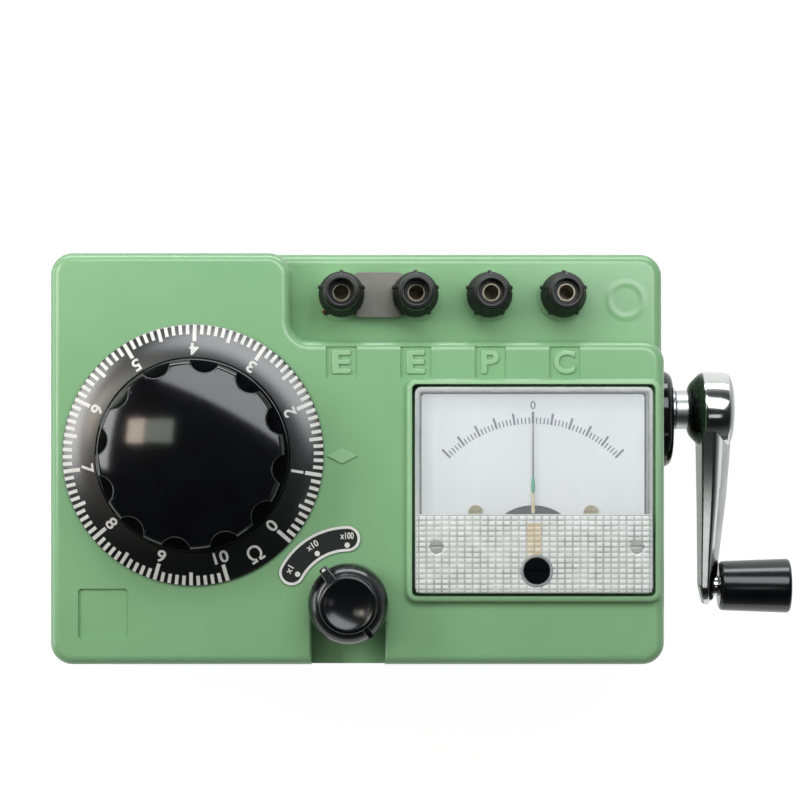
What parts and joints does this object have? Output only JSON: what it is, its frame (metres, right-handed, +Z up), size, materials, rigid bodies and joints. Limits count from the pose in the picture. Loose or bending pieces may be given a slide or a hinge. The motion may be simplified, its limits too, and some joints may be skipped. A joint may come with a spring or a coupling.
{
  "type": "earth resistance tester",
  "caption": "Hand-cranked earth resistance tester: green moulded case with balance dial, range switch, panel meter, binding posts and a side crank with geared generator.",
  "frame": {"origin": "middle of the base plate's outer face", "axes": "+X right along the panel towards the crank, +Y away from the operator, +Z up out of the panel"},
  "size_m": [0.211, 0.117, 0.135],
  "materials": {
    "housing": "moulded, satin gloss",
    "base_plate": "moulded",
    "rubber_feet": "matte",
    "base_screws": "zinc plated",
    "slide_wire_base": "paper laminate",
    "slide_wire": "wound resistance wire",
    "shaft_bushes": "turned",
    "bush_nuts": "turned",
    "range_plate": "printed plate",
    "range_frame": "stamped",
    "range_wafer": "paper laminate",
    "meter_drum": "moulded",
    "meter_studs": "turned",
    "meter_magnet": "ground",
    "meter_core": "ground",
    "pivot_bridges": "stamped",
    "hairspring": "rolled",
    "scale_plate": "white enamel",
    "scale_pillars": "turned",
    "meter_cover": "clear moulding",
    "cover_screws": "plated",
    "terminal_studs": "nickel plated",
    "terminal_nuts": "nickel plated",
    "solder_tags": "tinned",
    "bearing_cover": "moulded",
    "bearing_bush": "turned",
    "frame_plates": "stamped",
    "frame_pillars": "turned",
    "stator_can": "turned",
    "stator_windings": "laminated, wound",
    "brush_holder": "moulded",
    "transformer": "laminated, wound",
    "component_board": "paper laminate",
    "dial_disc": "satin with white ticks",
    "dial_knob": "polished",
    "dial_shaft": "turned",
    "wiper_arm": "stamped",
    "range_knob": "polished",
    "range_shaft": "turned",
    "range_rotor": "moulded",
    "zero_adjuster": "moulded",
    "zero_arm": "stamped",
    "moving_coil": "enamelled wire",
    "needle": "painted",
    "link_plate": "nickel plated",
    "terminal_collar_1": "turned",
    "terminal_cap_1": "moulded",
    "terminal_collar_2": "turned",
    "terminal_cap_2": "moulded",
    "terminal_collar_3": "turned",
    "terminal_cap_3": "moulded",
    "terminal_collar_4": "turned",
    "terminal_cap_4": "moulded",
    "crank_arm": "polished",
    "crank_sleeve": "polished",
    "crank_shaft": "turned",
    "crank_gear": "hobbed",
    "crank_grip": "turned",
    "idler_gear": "hobbed",
    "generator_rotor": "ground"
  },
  "bodies": {
    "tester": {"housing": "housing", "base_plate": "base_plate", "rubber_feet": "rubber_feet", "base_screws": "base_screws", "slide_wire_base": "slide_wire_base", "slide_wire": "slide_wire", "shaft_bushes": "shaft_bushes", "bush_nuts": "bush_nuts", "range_plate": "range_plate", "range_frame": "range_frame", "range_wafer": "range_wafer", "meter_drum": "meter_drum", "meter_studs": "meter_studs", "meter_magnet": "meter_magnet", "meter_core": "meter_core", "pivot_bridges": "pivot_bridges", "hairspring": "hairspring", "scale_plate": "scale_plate", "scale_pillars": "scale_pillars", "meter_cover": "meter_cover", "cover_screws": "cover_screws", "terminal_studs": "terminal_studs", "terminal_nuts": "terminal_nuts", "solder_tags": "solder_tags", "bearing_cover": "bearing_cover", "bearing_bush": "bearing_bush", "frame_plates": "frame_plates", "frame_pillars": "frame_pillars", "stator_can": "stator_can", "stator_windings": "stator_windings", "brush_holder": "brush_holder", "transformer": "transformer", "component_board": "component_board"},
    "dial": {"dial_disc": "dial_disc", "dial_knob": "dial_knob", "dial_shaft": "dial_shaft", "wiper_arm": "wiper_arm"},
    "range_switch": {"range_knob": "range_knob", "range_shaft": "range_shaft", "range_rotor": "range_rotor"},
    "zero_button": {"zero_adjuster": "zero_adjuster"},
    "zero_fork": {"zero_arm": "zero_arm"},
    "pointer": {"moving_coil": "moving_coil", "needle": "needle"},
    "link": {"link_plate": "link_plate"},
    "collar_1": {"terminal_collar_1": "terminal_collar_1"},
    "cap_1": {"terminal_cap_1": "terminal_cap_1"},
    "collar_2": {"terminal_collar_2": "terminal_collar_2"},
    "cap_2": {"terminal_cap_2": "terminal_cap_2"},
    "collar_3": {"terminal_collar_3": "terminal_collar_3"},
    "cap_3": {"terminal_cap_3": "terminal_cap_3"},
    "collar_4": {"terminal_collar_4": "terminal_collar_4"},
    "cap_4": {"terminal_cap_4": "terminal_cap_4"},
    "crank": {"crank_arm": "crank_arm", "crank_sleeve": "crank_sleeve", "crank_shaft": "crank_shaft", "crank_gear": "crank_gear"},
    "grip": {"crank_grip": "crank_grip"},
    "idler": {"idler_gear": "idler_gear"},
    "rotor": {"generator_rotor": "generator_rotor"}
  },
  "joints": [
    {"name": "dial_turn", "type": "hinge", "parent": "tester", "child": "dial", "pos_m": [-0.045, 0.001, 0.11], "axis": [0, 0, 1], "range_deg": [-285.5, 41.7]},
    {"name": "range_turn", "type": "hinge", "parent": "tester", "child": "range_switch", "pos_m": [-0.0025, -0.0395, 0.11], "axis": [0, 0, 1], "range_deg": [-30, 30]},
    {"name": "needle_swing", "type": "hinge", "parent": "tester", "child": "pointer", "pos_m": [0.0482, -0.0224, 0.1094], "axis": [0, 0, 1], "range_deg": [-48, 48], "stiffness_Nm_per_rad": 0.00002},
    {"name": "zero_turn", "type": "hinge", "parent": "tester", "child": "zero_button", "pos_m": [0.0489, -0.0306, 0.113], "axis": [0, 0, 1], "range_deg": [-30, 30]},
    {"name": "zero_fork_turn", "type": "hinge", "parent": "tester", "child": "zero_fork", "pos_m": [0.0482, -0.0224, 0.1112], "axis": [0, 0, 1], "range_deg": [-9, 9]},
    {"name": "link_swing", "type": "hinge", "parent": "tester", "child": "link", "pos_m": [-0.0044, 0.0452, 0.104], "axis": [0, 0, 1], "range_deg": [0, 90]},
    {"name": "cap_turn_1", "type": "hinge", "parent": "collar_1", "child": "cap_1", "pos_m": [-0.0044, 0.0452, 0.105], "axis": [0, 0, 1], "range_deg": [0, 1080]},
    {"name": "cap_rise_1", "type": "slide", "parent": "tester", "child": "collar_1", "axis": [0, 0, 1], "range_m": [0, 0.0024]},
    {"name": "cap_turn_2", "type": "hinge", "parent": "collar_2", "child": "cap_2", "pos_m": [0.016, 0.0452, 0.105], "axis": [0, 0, 1], "range_deg": [0, 1080]},
    {"name": "cap_rise_2", "type": "slide", "parent": "tester", "child": "collar_2", "axis": [0, 0, 1], "range_m": [0, 0.0024]},
    {"name": "cap_turn_3", "type": "hinge", "parent": "collar_3", "child": "cap_3", "pos_m": [0.0364, 0.0452, 0.105], "axis": [0, 0, 1], "range_deg": [0, 1080]},
    {"name": "cap_rise_3", "type": "slide", "parent": "tester", "child": "collar_3", "axis": [0, 0, 1], "range_m": [0, 0.0024]},
    {"name": "cap_turn_4", "type": "hinge", "parent": "collar_4", "child": "cap_4", "pos_m": [0.0568, 0.0452, 0.105], "axis": [0, 0, 1], "range_deg": [0, 1080]},
    {"name": "cap_rise_4", "type": "slide", "parent": "tester", "child": "collar_4", "axis": [0, 0, 1], "range_m": [0, 0.0024]},
    {"name": "crank_turn", "type": "hinge", "parent": "tester", "child": "crank", "pos_m": [0.085, 0.0141, 0.064], "axis": [1, 0, 0], "continuous": true},
    {"name": "grip_spin", "type": "hinge", "parent": "crank", "child": "grip", "pos_m": [0.115, -0.0367, 0.064], "axis": [1, 0, 0], "continuous": true},
    {"name": "idler_turn", "type": "hinge", "parent": "tester", "child": "idler", "pos_m": [0.07, -0.01242, 0.03748], "axis": [1, 0, 0], "continuous": true},
    {"name": "rotor_turn", "type": "hinge", "parent": "tester", "child": "rotor", "pos_m": [0.04, 0.02008, 0.03175], "axis": [1, 0, 0], "continuous": true}
  ],
  "couplings": [
    {"joint": "zero_fork_turn", "follows": "zero_turn", "ratio": -0.27},
    {"joint": "cap_turn_1", "follows": "cap_rise_1", "rad_per_m": 7853.9},
    {"joint": "cap_turn_2", "follows": "cap_rise_2", "rad_per_m": 7853.9},
    {"joint": "cap_turn_3", "follows": "cap_rise_3", "rad_per_m": 7853.9},
    {"joint": "cap_turn_4", "follows": "cap_rise_4", "rad_per_m": 7853.9},
    {"joint": "idler_turn", "follows": "crank_turn", "ratio": -4},
    {"joint": "rotor_turn", "follows": "crank_turn", "ratio": 18}
  ]
}
